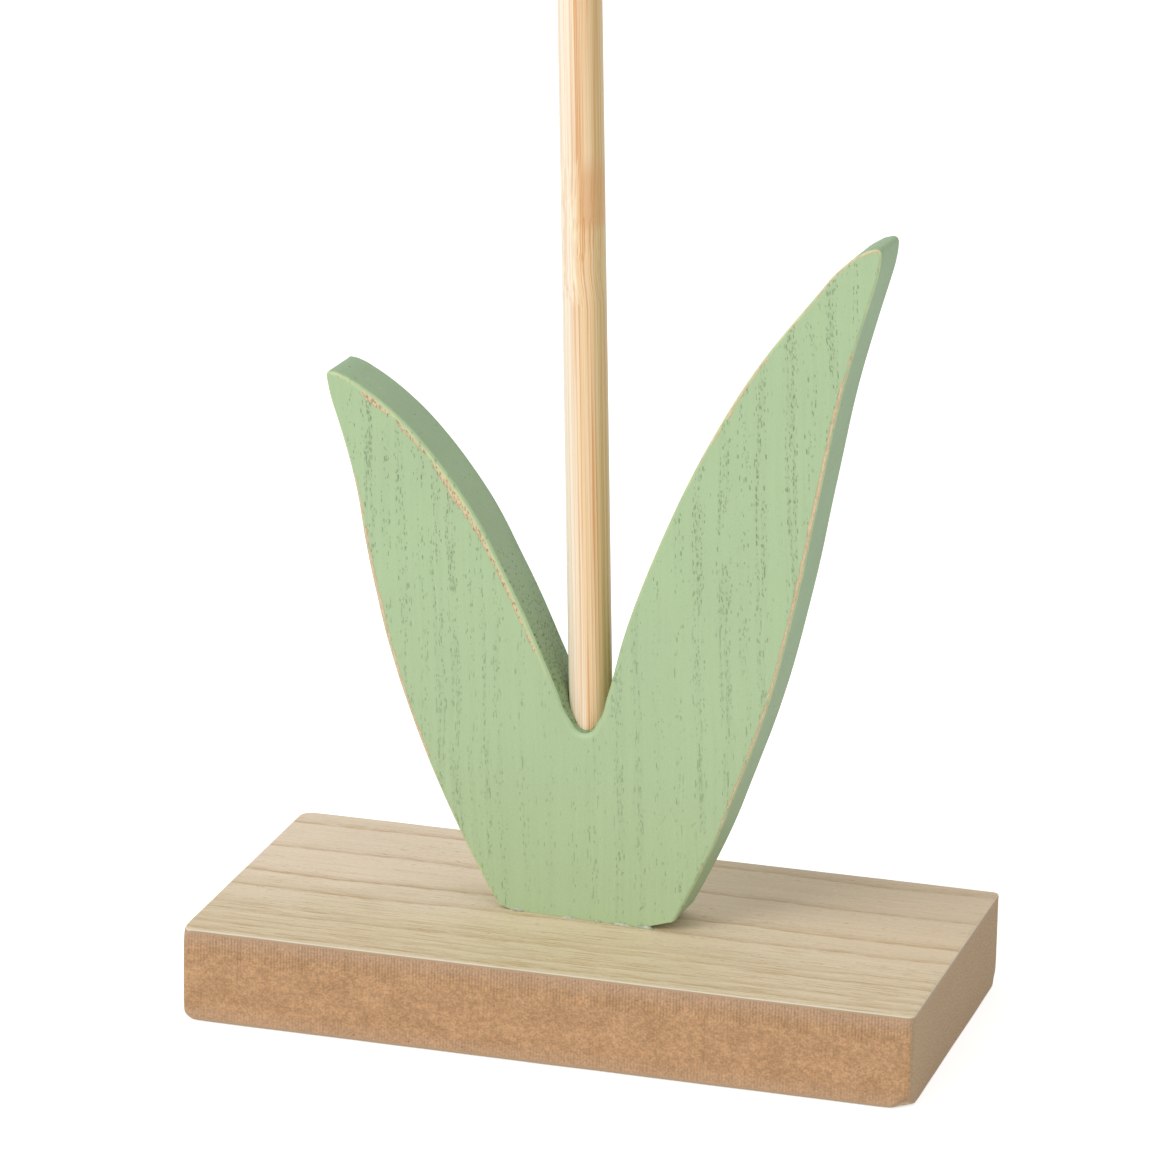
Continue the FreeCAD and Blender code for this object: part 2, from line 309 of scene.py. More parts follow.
def run_of(points):
    """Millimetres run along a line of points."""
    return np.concatenate([[0], np.cumsum(np.abs(np.diff(points)))])


def outline(rows, foot):
    """Stops round a sheet, clockwise: smooth rows of points, with a rounded tip between one and the next.

    Gives arrays of the points, the ways inward, the row's number, and the millimetres along the row.
    The foot is a row of its own, numbered -1, of straight lines.
    """
    smooth = [list(zip(row, headings(row))) for row in rows]
    pairs = list(zip(smooth, smooth[1:] + smooth[:1]))
    for row, next_row in pairs[:-1] if foot else pairs:
        tip, way = row[-1]
        next_way = next_row[0][1]
        reach = tip_radius * abs(next_way - way) / abs(next_way + way)
        row[-1] = (tip - way * reach, way)
        next_row[0] = (tip + next_way * reach, next_way)
    stops = []
    for number, (row, next_row) in enumerate(pairs):
        to_foot = foot and next_row is smooth[0]
        edge = []
        for first, last in zip(row, row[1:] + ([] if to_foot else next_row[:1])):
            edge += two_arcs(first, last)
        if to_foot:
            edge.append(row[-1])
        along = run_of(np.array([point for point, _ in edge]))
        stops += [(point, way * -1j, number, run) for (point, way), run in zip(edge, along)]
    if foot:
        corners = [smooth[-1][-1][0]] + foot + [smooth[0][0][0]]
        for start, end in zip(corners, corners[1:]):
            line = arc(start, (end - start) / abs(end - start), end, edge_step)
            stops += [(point, 1j, -1, 0.0) for point, _ in line[1 if start is corners[0] else 0:]]
    return [np.array(column) for column in zip(*stops)]


def board_outline():
    """Stops round the board, clockwise seen from above: the points, and the ways inward."""
    half = complex(board_length / 2, board_width / 2)
    corners = (half, half.conjugate(), -half, -half.conjugate())
    ways = (1, -1j, -1, 1j)
    stops = []
    for index, (corner, way, radius) in enumerate(zip(corners, ways, board_corners)):
        before = corners[index - 1] + way * board_corners[index - 1]
        next_way = ways[(index + 1) % len(ways)]
        stops += arc(before, way, corner - way * radius, board_step)
        stops += arc(corner - way * radius, way, corner + next_way * radius, board_step)
    points, headed = [np.array(column) for column in zip(*stops)]
    return points, headed * -1j


def waver(along, size, *place):
    """Slow random change along an edge, over about the given length, between about -0.5 and 0.5."""
    return np.array([noise.noise(Vector((run / size, *place))) for run in along])


def values_along(numbers, along, tables):
    """Values of the edges' tables of stations at each stop of an outline, with zero along the foot."""
    values = np.zeros((len(along), len(tables[0][0]) - 1))
    for number, table in enumerate(tables):
        chosen = numbers == number
        places, *columns = np.array(table, float).T
        values[chosen] = np.stack([np.interp(along[chosen], places, column) for column in columns], axis=1)
    return values


def filled(rim, inner):
    """Triangles over a rim and the points inside it, as indices into the rim and then the inner points."""
    points = [Vector((point.real, point.imag)) for point in np.concatenate([rim, inner])]
    edges = [(index, (index + 1) % len(rim)) for index in range(len(rim))]
    _, _, triangles, origins, _, _ = geometry.delaunay_2d_cdt(points, edges, [], 1, 1e-5)
    return [tuple(origins[corner][0] for corner in triangle) for triangle in triangles]


def face_points(points, inward, ease):
    """Points inside an outline, close together near its edge, with the distance and nearest stop of each."""
    rows = []
    for inset, stride in face_insets:
        wanted = ease[::stride] + inset
        rows.append((points[::stride] + inward[::stride] * wanted, wanted))
    across = np.arange(points.real.min(), points.real.max(), face_grid)
    up = np.arange(points.imag.min(), points.imag.max(), face_grid)
    grid = (across[:, None] + 1j * up[None, :]).ravel()
    rows.append((grid, ease.max() + face_insets[-1][0] + face_grid / 2))
    chosen = []
    for row, wanted in rows:
        gaps = np.abs(row[:, None] - points[None, :])
        closest = gaps.argmin(axis=1)
        gap = gaps.min(axis=1)
        side = ((row - points[closest]) * inward[closest].conjugate()).real
        keep = (gap > wanted - 0.02) & (side > 0)
        chosen.append((row[keep], gap[keep], closest[keep]))
    return [np.concatenate(column) for column in zip(*chosen)]


def walls(count, levels):
    """Faces between rings that follow one another, each with the same number of points."""
    faces = []
    for low in range(0, count * (levels - 1), count):
        for index in range(count):
            after = (index + 1) % count
            faces.append((low + index, low + after, low + count + after, low + count + index))
    return faces


def shell(rings, inner, distances, nearest):
    """Closed skin over rings, from the first ring's face, with points inside it, to the last ring's.

    A ring is its plane points, their depths and their edge values. Gives plane points, depths, edge
    values, the stop that each point belongs to, and the faces.
    """
    count = len(rings[0][0])
    total = count * len(rings)
    faces = walls(count, len(rings))
    for triangle in filled(rings[0][0], inner):
        faces.append(tuple(corner if corner < count else total + corner - count for corner in triangle))
    for triangle in filled(rings[-1][0], inner[:0]):
        faces.append(tuple(total - count + corner for corner in triangle))
    stops = np.concatenate([np.arange(count)] * len(rings) + [nearest])
    rings = rings + [(inner, np.full(len(inner), rings[0][1][0]), distances)]
    return [np.concatenate(column) for column in zip(*rings)] + [stops, faces]


def ring_at(points, inward, ease, depth, place, sunk):
    """Ring of a sheet with a rounded rim, at a depth below the nearer face, and sunk into the sawn side."""
    left = np.clip(ease - depth, 0, None)
    inset = ease - np.sqrt(ease ** 2 - left ** 2)
    return points + inward * (inset + sunk), place, inset - depth / 2


def skin_shell(points, inward, ease, skin):
    """Skin of a sheet with its rounded rim, from its face to the glue line. Depths run from the face."""
    face_turn = np.arccos(np.clip(1 - skin / ease, 0, 1))
    turns = [face_turn * min(index / (arris_rings - 1), 0.98) for index in range(arris_rings)]
    depths = [ease * (1 - np.cos(turn)) for turn in turns] + [np.full(len(points), skin)]
    rings = [ring_at(points, inward, ease, depth, depth, 0.0) for depth in depths]
    return shell(rings, *face_points(points, inward, ease))


def core_shell(points, inward, eases, skin, thickness, relief):
    """Core of a sheet between its glue lines. The relief gives how far the sawn side lies back."""
    flat = np.ones(len(points))
    flanks = [[skin * flat + (np.maximum(ease, skin + 0.05) - skin) * share for share in flank_steps]
              for ease in eases]
    wall = thickness - 4 * skin
    count = round(wall / wall_ring_step)
    levels = [2 * skin + wall * index / count for index in range(count + 1)]
    depths = [(depth, 0) for depth in flanks[0]]
    depths += [(flat * min(level, thickness - level), int(level >= thickness / 2)) for level in levels]
    depths += [(depth, 1) for depth in reversed(flanks[1])]
    rings = []
    for depth, side in depths:
        place = thickness - depth if side else depth
        sunk = relief(place) * np.clip((depth - skin) / skin, 0, 1)
        rings.append(ring_at(points, inward, eases[side], depth, place, sunk))
    none = np.zeros(0)
    return shell(rings, none, none, none.astype(int))


def plain_mesh(name, points, faces):
    """Mesh from points in millimetres, with its faces turned outward."""
    mesh = bpy.data.meshes.new(name)
    mesh.from_pydata((np.asarray(points) * mm).tolist(), [], faces)
    shaped = bmesh.new()
    shaped.from_mesh(mesh)
    bmesh.ops.recalc_face_normals(shaped, faces=shaped.faces)
    shaped.to_mesh(mesh)
    shaped.free()
    return mesh


def capped_mesh(rings, place):
    """Closed body over rings of corners, flat at both ends, at a place."""
    count = len(rings[0])
    last = count * (len(rings) - 1)
    caps = [tuple(range(count)), tuple(range(last, last + count))]
    return plain_mesh("tool", np.concatenate(rings) + np.array(place), caps + walls(count, len(rings)))


def round_mesh(profile, place):
    """Round body about an upright axis at a place, from pairs of a radius and a level."""
    turns = np.exp(2j * np.pi * np.arange(hole_sides) / hole_sides)
    points = [(radius * turn.real, radius * turn.imag, level) for radius, level in profile for turn in turns]
    last = len(points)
    points += [(0, 0, profile[0][1]), (0, 0, profile[-1][1])]
    faces = walls(hole_sides, len(profile))
    for side in range(hole_sides):
        after = (side + 1) % hole_sides
        faces += [(last, after, side), (last + 1, last - hole_sides + side, last - hole_sides + after)]
    return plain_mesh("round body", np.array(points) + np.array(place), faces)


def placed_object(name, data):
    """Object at the origin in the scene, for a mesh that is in its place or for a lamp or camera."""
    holder = bpy.data.objects.new(name, data)
    bpy.context.scene.collection.objects.link(holder)
    return holder


def shaped_mesh(holder, *helpers):
    """Plain mesh of an object with its modifiers applied. The object and its helpers are removed."""
    evaluated = holder.evaluated_get(bpy.context.evaluated_depsgraph_get())
    mesh = bpy.data.meshes.new_from_object(evaluated)
    for used in (holder, *helpers):
        bpy.data.objects.remove(used)
    return mesh


def bored(mesh, tools):
    """Mesh with the shapes of the tools cut out of it."""
    holder = placed_object("blank", mesh)
    cutters = [placed_object("cutter", tool) for tool in tools]
    for cutter in cutters:
        cut = holder.modifiers.new("cut", "BOOLEAN")
        cut.operation = "DIFFERENCE"
        cut.solver = "EXACT"
        cut.object = cutter
    return shaped_mesh(holder, *cutters)


def finish_piece(name, mesh, finish):
    """Object for a mesh that is in its place, with smooth faces and crisp corners."""
    mesh.shade_smooth()
    mesh.set_sharp_from_angle(angle=crisp_angle)
    mesh.materials.clear()
    mesh.materials.append(finish)
    piece = placed_object(name, mesh)
    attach(piece, "root")
    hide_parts(name)


def make_piece(name, points, faces, finish, layers, tools):
    """Finished piece from points in millimetres, with the tools' shapes cut out of it.

    A corner that a cut made takes the layers of the nearest corner that was there before.
    """
    mesh = plain_mesh(name, points, faces)
    nearest = np.arange(len(points))
    if tools:
        tree = kdtree.KDTree(len(points))
        for index, point in enumerate(points * mm):
            tree.insert(point, index)
        tree.balance()
        mesh = bored(mesh, tools)
        nearest = np.array([tree.find(corner.co)[1] for corner in mesh.vertices])
    moved = np.array([corner.co for corner in mesh.vertices]) / mm - points[nearest]
    for label, values in layers.items():
        values = values[nearest] + moved if label == "sheet" else values[nearest]
        kind = "FLOAT" if values.ndim == 1 else "FLOAT_VECTOR"
        layer = mesh.attributes.new(label, kind, "POINT")
        layer.data.foreach_set("value" if kind == "FLOAT" else "vector", values.astype(np.float32).ravel())
    finish_piece(name, mesh, finish)


def sandwich(points, inward, eases, skin, thickness, relief, placed, pieces):
    """Front veneer, core and back veneer of a sheet, one piece each.

    Each has a name, a finish with a slot name that is not used, and cutting tools. A function gives its
    points and layers from its plane points, depths, edge values, stops and side.
    """
    front, back = [skin_shell(points, inward, ease, skin) for ease in eases]
    core = core_shell(points, inward, eases, skin, thickness, relief)
    for (*plane, faces), side, (name, (finish, slot), tools) in zip((front, core, back), (1, 1, -1), pieces):
        place, layers = placed(*plane, side)
        make_piece(name, place, faces, finish, layers, tools)


def sheet_pieces(name, rows, foot, rise, tables, seed, finishes, tools):
    """The three pieces of a sawn sheet, with hand-sanded rims."""
    points, inward, numbers, along = outline(rows, foot)
    wear, spares, rough = [values_along(numbers, along, table) for table in tables]
    travel = run_of(points)
    eases = []
    for face in (0, 1):
        uneven = 0.12 * waver(travel, 14, seed + face, 0.5) + 0.06 * waver(travel, 3, seed + face, 0.5)
        eases.append(np.where(numbers < 0, foot_ease, sheet_ease + uneven + spares[:, 0]))
    depths = np.arange(0, sheet_thickness + chatter_step / 2, chatter_step)
    chatter = [waver(travel, chatter_length, depth / chatter_height, seed) for depth in depths]

    def relief(place):
        level = np.mean(place) / chatter_step
        low = min(int(level), len(chatter) - 2)
        mixed = chatter[low] * (1 - (level - low)) + chatter[low + 1] * (level - low)
        return np.where(numbers < 0, 0.0, saw_relief * (1 + mixed) * (1 + rough[:, 0]))

    def placed(plane, depths, edges, stops, side):
        local = np.stack([plane.real, (depths - sheet_thickness / 2) * side, plane.imag + rise], axis=1)
        layers = {"sheet": local, "edge": edges - spares[stops, 0], "rim": wear[stops, 3]}
        layers["wear"] = wear[stops, :3] * (1 if side > 0 else back_wear)
        layers["rough"] = rough[stops, 0]
        standing = local @ np.array(stance.to_3x3()).T + np.array(stance.translation)
        return standing, layers

    paint, side_paint = finishes
    pieces = (
        (name + "_front_veneer", paint, []),
        (name + "_core", side_paint, tools),
        (name + "_back_veneer", paint, []),
    )
    sandwich(points, inward, eases, sheet_skin, sheet_thickness, relief, placed, pieces)


def foot_point(across, lift):
    """Point on the foot's sawn line, which lies flat on the board once the leaf leans."""
    return complex(across, lift - across * math.tan(math.radians(lean_angle)))


def valley_sides(bottom, width, depth):
    """Points on both sides of a valley, where its rounded bottom begins."""
    return [bottom + complex(side * width / 2, depth) for side in (-1, 1)]


def leaf_rows():
    """Rows of the leaf's outline: up the left blade, down and up past the notch, and down the right blade."""
    half_foot = foot_width / 2
    notch_left, notch_right = valley_sides(notch_bottom, notch_width, notch_depth)
    left_outer = by_shares(foot_point(-half_foot, left_lift), left_tip, left_outer_shares)
    inner = by_shares(left_tip, notch_left, left_inner_shares) + [notch_bottom]
    inner += by_shares(notch_right, right_tip, right_inner_shares)
    right_outer = by_shares(right_tip, foot_point(half_foot, right_lift), right_outer_shares)
    foot = [foot_point(half_foot - right_lift_run, 0), foot_point(left_lift_run - half_foot, 0)]
    return [left_outer, inner, right_outer], foot


def mirrored(row):
    """The same row on the other side of the middle, in the opposite order."""
    return [-point.conjugate() for point in reversed(row)]


def blossom_rows():
    """Rows of the blossom's outline: over the petals, down the right flank and up the left one."""
    valley_left, valley_right = valley_sides(valley_bottom, valley_width, valley_depth)
    petals = by_shares(complex(0, blossom_height), valley_left, middle_petal_shares) + [valley_bottom]
    petals += by_shares(valley_right, petal_tip, side_petal_shares)
    flank = [complex(blossom_width / 2 * across, petal_tip.imag * rise) for across, rise in flank_shares]
    flank.insert(0, petal_tip)
    rows = [mirrored(petals), petals, flank + [0j] + mirrored(flank)]
    return [[point + stem_offset for point in row] for row in rows]


def dull_corners(points):
    """Points of the board, pressed in where a corner was dulled by sanding."""
    low, high = np.array(board_low), np.array(board_high)
    for side, leg in dulled_corners:
        outward = np.array(side) / math.sqrt(3)
        facet = ((low + high) / 2 + (high - low) / 2 * np.array(side)) @ outward - leg / math.sqrt(3)
        above = points @ outward - facet
        pressed = (above + np.sqrt(above ** 2 + dulled_softness ** 2)) / 2
        points = points - np.outer(pressed * (above > -4 * dulled_softness), outward)
    return np.clip(points, low, high)


def board_pieces(finishes, tools):
    """Top veneer, fibreboard core with its saw marks, and bottom veneer."""
    points, inward = board_outline()
    along = run_of(points)
    top_ease = board_ease + 0.12 * waver(along, 16, 31, 0.5) + 0.06 * waver(along, 4, 32, 0.5)
    at_end = points.real > board_length / 2 - 0.1
    top_ease += np.where(at_end, end_ease_spare * np.abs(waver(along, 7, 34, 0.5)), 0)
    low_ease = board_ease + 0.16 * waver(along, 12, 33, 0.5)
    saw = waver(along, 0.75, 7.5, 0)

    def relief(place):
        depth = np.mean(place)
        cut = 1 - 0.75 * min(1, depth / 4, (board_thickness - depth) / 3)
        soft = waver(along, 1.1, depth / 1.1, 3.5)
        return saw_relief * (1 + saw) * cut + felt_relief * (1 + soft)

    def placed(plane, depths, edges, stops, side):
        level = board_thickness - depths if side > 0 else depths
        place = np.stack([plane.real, plane.imag, level], axis=1)
        sheet = np.stack([along[stops], depths, level], axis=1)
        return dull_corners(place), {"sheet": sheet, "edge": edges}

    names = ("base_top_veneer", "base_core", "base_bottom_veneer")
    pieces = [(name, finish, tools) for name, finish in zip(names, finishes)]
    sandwich(points, inward, (top_ease, low_ease), board_skin, board_thickness, relief, placed, pieces)


# Kinds of node that come up often: type, settings, inputs in order, and the output that is used
node_kinds = {
    "sum": ("ShaderNodeMath", {"operation": "ADD"}, (0, 1), 0),
    "difference": ("ShaderNodeMath", {"operation": "SUBTRACT"}, (0, 1), 0),
    "product": ("ShaderNodeMath", {"operation": "MULTIPLY"}, (0, 1), 0),
    "larger": ("ShaderNodeMath", {"operation": "MAXIMUM"}, (0, 1), 0),
    "range": ("ShaderNodeMapRange", {"interpolation_type": "SMOOTHSTEP"}, (0, 1, 2, 3, 4), 0),
    "blend": ("ShaderNodeMix", {"data_type": "RGBA"}, (0, 6, 7), 2),
    "scaled": ("ShaderNodeVectorMath", {"operation": "SCALE"}, (0, "Scale"), 0),
    "parts": ("ShaderNodeSeparateXYZ", {}, (0,), 0),
    "noise": ("ShaderNodeTexNoise", {}, ("Vector", "Scale", "Detail", "Roughness"), "Fac"),
    "moved": ("ShaderNodeMapping", {}, ("Vector", "Location", "Scale"), 0),
    "joined": ("ShaderNodeCombineXYZ", {}, (0, 1, 2), 0),
    "metres": ("ShaderNodeTexCoord", {}, (), "Object"),
    "position": ("GeometryNodeInputPosition", {}, (), 0),
    "outward": ("GeometryNodeInputNormal", {}, (), 0),
    "reshaped": ("GeometryNodeSetPosition", {}, ("Geometry", "Offset", "Position"), 0),
    "separate": ("GeometryNodeRealizeInstances", {}, (0,), 0),
}
for label in ("sheet", "wear", "edge", "rim", "rough"):
    output = "Vector" if label in ("sheet", "wear") else "Fac"
    node_kinds[label] = ("ShaderNodeAttribute", {"attribute_name": label}, (), output)


def linear(code):
    """An sRGB hex colour as linear red, green and blue, with alpha."""
    values = [int(code[index:index + 2], 16) / 255 for index in (1, 3, 5)]
    return [v / 12.92 if v <= 0.04045 else ((v + 0.055) / 1.055) ** 2.4 for v in values] + [1.0]


def fill(made, inputs):
    """Set or link the inputs of a node."""
    for label, value in inputs.items():
        if isinstance(value, bpy.types.NodeSocket):
            made.id_data.links.new(value, made.inputs[label])
        else:
            made.inputs[label].default_value = value


def add(tree, kind, *values, **settings):
    """Add a node with its settings, set or link its inputs, and give its output.

    A kind from the list takes its values in order, and one that takes two is chained for more.
    A plain type takes them as a dictionary.
    """
    if kind in node_kinds:
        kind_type, fixed, slots, output = node_kinds[kind]
        while slots == (0, 1) and len(values) > 2:
            values = (add(tree, kind, *values[:2]), *values[2:])
        inputs = {slot: value for slot, value in zip(slots, values) if value is not None}
        settings = {**fixed, **settings}
    else:
        kind_type, inputs, output = kind, values[0], 0
    made = tree.nodes.new(kind_type)
    for label, value in settings.items():
        setattr(made, label, value)
    fill(made, inputs)
    return made.outputs[output]


def new_finish(name, recipe, *colours):
    """Material from a recipe that gives the surface's inputs, a relief, and its depth in millimetres."""
    material = bpy.data.materials.new(name)
    material.use_nodes = True
    tree = material.node_tree
    node = partial(add, tree)
    inputs, relief, depth = recipe(node, *map(linear, colours))
    bump = node("ShaderNodeBump", {"Height": relief, "Strength": 1.0, "Distance": depth * mm})
    fill(tree.nodes["Principled BSDF"], {**inputs, "Normal": bump})
    return material


def grain(node, place, sizes, detail, seed, *reach):
    """Noise whose features have the given sizes along the three axes, in millimetres.

    It lies between 0 and 1, or a part of it is brought to the reach that is given.
    """
    scale = [1 / size if size else 0 for size in sizes]
    found = node("noise", node("moved", place, [seed] * 3, scale), 1.0, detail, 0.6)
    return node("range", found, *reach) if reach else found


def layered(node, colour, *layers):
    """Colour under layers: a share with the colour that covers it, or a factor with its two shades."""
    for factor, *over in layers:
        if len(over) == 1:
            colour = node("blend", factor, colour, over[0])
        else:
            colour = node("scaled", colour, node("range", factor, 0.0, 1.0, *over))
    return colour


def drawn(node, value, low, high, points):
    """Value looked up on a line drawn through places and heights, which starts and ends at zero."""
    share = node("ShaderNodeMapRange", {"Value": value, "From Min": low, "From Max": high})
    curve = node("ShaderNodeFloatCurve", {"Value": share}).node
    path = curve.mapping.curves[0]
    path.points[-1].location = (1, 0)
    for place, height in points:
        path.points.new((place - low) / (high - low), height)
    for point in path.points:
        point.handle_type = "VECTOR"
    curve.mapping.update()
    return curve.outputs[0]


def scattered(node, place, cell, share, sizes, seed):
    """Spots scattered one to a cell of millimetres: 1 in a spot and 0 beside it.

    The share says how many cells have one, and the sizes are the smallest and largest radius in cells.
    A cell with two sizes is a field of the sheet's face, across and up.
    """
    if len(cell) == 2:
        parts = node("parts", place).node.outputs
        place = node("joined", parts[0], parts[2])
    scale = [1 / size for size in cell] + [1] * (3 - len(cell))
    settings = {"Vector": node("moved", place, [seed] * 3, scale), "Scale": 1.0, "Randomness": 0.9}
    cells = node("ShaderNodeTexVoronoi", settings, voronoi_dimensions=f"{len(cell)}D").node.outputs
    picked = node("ShaderNodeSeparateColor", {0: cells["Color"]}).node.outputs
    size = node("range", picked[1], 0.0, 1.0, *sizes)
    inside = node("range", node("difference", size, cells["Distance"]), 0.0, 0.1)
    there = node("range", node("difference", share, picked[0]), -0.02, 0.05)
    return node("product", inside, there, node("range", picked[2], 0.0, 1.0, 0.4, 1.0))


def painted_veneer(node, paint, thin_paint_and_highlight, pore_paint, wood, dark_wood):
    """Satin paint brushed thinly over an open-pored veneer: strings of fine dark dashes show through it,
    densest in the blades, and sanding has gone down to the wood in places. A pale line along the rims is
    partly paint that sanding has thinned and partly a painted highlight. Real pores are about 0.1 mm wide.
    They are drawn 0.2 mm wide, or they wouldn't show."""
    place = node("sheet")
    edge = node("edge")
    parts = node("parts", place).node.outputs
    wear = node("parts", node("wear")).node.outputs

    sway = node("noise", place, 1 / 22, 1.0).node.outputs["Color"]
    bend = {0: sway, 1: (sway_reach, 0, 0), 2: place}
    swayed = node("ShaderNodeVectorMath", bend, operation="MULTIPLY_ADD")
    across = node("sum", node("parts", swayed), -sway_reach / 2)
    stops = []
    for middle, dense in pore_strings:
        stops += [(middle - 1.3, 0.03), (middle - 0.6, dense), (middle + 0.6, dense), (middle + 1.3, 0.03)]
    bands = drawn(node, across, left_tip.real - 4, right_tip.real + 4, stops)
    strings = node("product", bands, grain(node, swayed, (0.7, 0, 14), 1.0, 9, 0.36, 0.56))
    share = node("sum", node("product", strings, node("range", parts[2], 45, 80, 0.5, 0.75)), 0.012)
    coarse = scattered(node, swayed, (0.38, 1.5), share, (0.2, 0.4), 0.0)
    fine = scattered(node, swayed, (0.3, 1.0), node("product", share, 0.8), (0.2, 0.4), 5.0)
    low = node("product", share, node("range", parts[2], 80, 45, 0.0, 0.8))
    long = scattered(node, swayed, (0.34, 3.4), low, (0.18, 0.36), 3.0)
    open_pores = node("larger", coarse, fine, long)

    # Pale line along the rims: partly paint thinned by sanding and partly a painted highlight on the arris.
    ragged = node("sum", edge, grain(node, place, (1.1, 1.1, 1.4), 3.0, 6, 0.2, 0.8, -0.12, 0.12))
    rim = node("product", node("range", ragged, 0.42, 0.12), node("range", edge, -0.35, -0.1))
    rim = node("product", rim, grain(node, place, (4, 4, 5), 2.0, 7, 0.3, 0.6, 0.4, 1.0), node("rim"))

    torn = node("sum", edge, grain(node, place, (1.2, 1.2, 2.4), 2.0, 8, 0.2, 0.8, -0.22, 0.22))
    left = node("difference", wear[2], torn)
    begun = node("range", node("difference", torn, wear[1]), -0.1, 0.1)
    patches = grain(node, place, (1.6, 1.6, 2.4), 3.0, 11, 0.25, 0.75, -0.85, 0.0)
    worn = node("range", node("sum", wear[0], patches), 0.0, 0.35)
    bare = node("product", begun, node("range", left, -0.08, 0.1), worn)
    fibres = grain(node, place, (0.4, 0.4, 0.9), 3.0, 12)
    calm = node("larger", node("range", parts[0], 0, 10), node("range", wear[1], 0.1, -0.1))
    paleness = node("larger", node("range", fibres, 0.38, 0.54), node("product", calm, 0.75))
    border = node("product", node("range", left, 0.2, 0.05), 0.6)
    bare_wood = layered(node, dark_wood, (paleness, wood), (border, dark_wood))

    lines = grain(node, swayed, (1.1, 0, 34), 1.0, 1)
    clouds = grain(node, place, (14, 14, 22), 2.0, 2)
    stipple = grain(node, place, (0.3, 0.3, 0.4), 2.0, 4)
    dark = node("product", open_pores, node("range", parts[2], 45, 80, 0.4, 0.64))
    colour = layered(
        node, paint[:3], (clouds, 0.97, 1.03), (lines, 0.97, 1.03), (stipple, 0.94, 1.06),
        (strings, 1.0, 0.955), (dark, pore_paint), (rim, thin_paint_and_highlight), (node("product", bare, 0.8), bare_wood),
    )
    torn_wood = node("product", bare, node("difference", fibres, 0.7))
    raised = (node("product", lines, 0.5), node("product", stipple, 0.3), torn_wood)
    relief = node("sum", node("product", open_pores, -0.8), *raised)
    rough = node("range", bare, 0.0, 1.0, 0.55, 0.8)
    return {"Base Color": colour, "Roughness": rough, "IOR": 1.46}, relief, 0.07


def painted_fibreboard(node, paint, rough_paint, speck):
    """Paint soaked into a sawn fibreboard side: flatter and darker than on the veneer, rough and speckled
    where the saw tore it."""
    place = node("sheet")
    rough = node("rough")
    clouds = grain(node, place, (9, 9, 9), 2.0, 2)
    felt = grain(node, place, (0.5, 0.5, 0.5), 3.0, 4)
    amount = node("sum", node("product", rough, 0.9), 0.03)
    dots = scattered(node, place, (0.5, 0.5, 0.5), amount, (0.25, 0.6), 0.0)
    colour = layered(
        node, paint[:3], (clouds, 0.95, 1.05), (felt, 0.92, 1.08),
        (node("product", rough, 0.75), rough_paint), (node("product", dots, 0.7), speck),
    )
    relief = node("sum", node("product", felt, 0.6), node("product", dots, -0.7))
    return {"Base Color": colour, "Roughness": 0.62, "IOR": 1.46}, relief, 0.06


def plain_veneer(rim_share, node, left_wood, right_wood, front_wood, line_wood, rim_tone, side_wood):
    """Bare sanded veneer, matt: pale beige at the left, browner at the right and yellower in front, with
    soft brown growth lines along the board, short dark fibres beside them and a thin paler rim, which is
    partly sanded wood and partly a painted highlight, fainter towards the right end. A painted shade of the
    leaf darkens the top towards the back right. Its sawn edge is as drab and brown as the core below. Real
    fibres are a few hundredths of a millimetre wide and are drawn ten times as wide."""
    edge = node("edge")
    place = node("scaled", node("metres"), 1 / mm)
    parts = node("parts", place).node.outputs
    sway = grain(node, place, (38, 12, 0), 2.0, 2, 0.2, 0.8, -0.9, 0.9)
    jitter = grain(node, place, (3.5, 0.7, 0), 3.0, 3, 0.2, 0.8, -0.4, 0.4)
    level = node("sum", parts[1], node("product", parts[0], -growth_slope), node("sum", sway, jitter))
    stops = []
    for middle, dark in growth_lines:
        stops += [(middle - 0.6, 0.0), (middle, dark * 0.8), (middle + 0.7, dark * 0.4)]
        stops.append((middle + 2.6, dark * 0.08))
    line = drawn(node, level, -board_width / 2 - 2, board_width / 2 + 2, stops)

    fibres = grain(node, place, (22, 0.45, 6), 3.0, 5)
    streaks = grain(node, place, (60, 2.2, 6), 2.0, 6)
    flecks = grain(node, place, (0.9, 0.5, 6), 2.0, 9)
    drift = grain(node, place, (26, 14, 9), 2.0, 7, 0.2, 0.8, -14, 14)
    to_right = node("range", node("sum", parts[0], drift), -45, 60)
    to_front = node("range", node("sum", parts[1], drift), 14, -28)
    broken = grain(node, place, (5, 0.6, 0), 3.0, 8, 0.34, 0.6, 0.4, 1.0)
    short = grain(node, place, (2.4, 0.35, 0), 2.0, 12, 0.58, 0.7)
    near_line = grain(node, place, (50, 2.6, 0), 1.0, 13, 0.46, 0.6, 0.12, 0.65)
    dashes = grain(node, place, (11, 0.42, 0), 3.0, 15, 0.52, 0.64)
    in_front = node("range", node("sum", parts[1], drift), -2, -18, 0.1, 0.5)
    # Painted shade that the leaf casts on the board: the veneer darkens towards the back right, behind the
    # leaf.
    painted_leaf_shade = node("product", node("range", parts[0], 5, 32), node("range", parts[1], -4, 22))
    # Rim in a colour of its own: on the top skin a pale line, partly sanded wood and partly a painted
    # highlight, fainter towards the right end.
    rim = node("product", node("range", edge, 0.34, 0.2), node("range", parts[0], 60, 69.5, rim_share, 0.4))
    colour = layered(
        node, left_wood, (to_right, right_wood), (to_front, front_wood), (fibres, 0.9, 1.1),
        (streaks, 0.95, 1.05), (flecks, 0.92, 1.08), (node("product", line, broken), line_wood),
        (node("product", short, near_line), line_wood), (node("product", dashes, in_front), line_wood),
        (painted_leaf_shade, 1.0, 0.91), (rim, rim_tone), (node("range", edge, 0.0, -0.12), side_wood),
    )
    relief = node("sum", node("product", fibres, 0.5), node("product", flecks, 0.4))
    relief = node("difference", relief, node("product", line, 0.4))
    return {"Base Color": colour, "Roughness": 0.62, "IOR": 1.5}, relief, 0.05


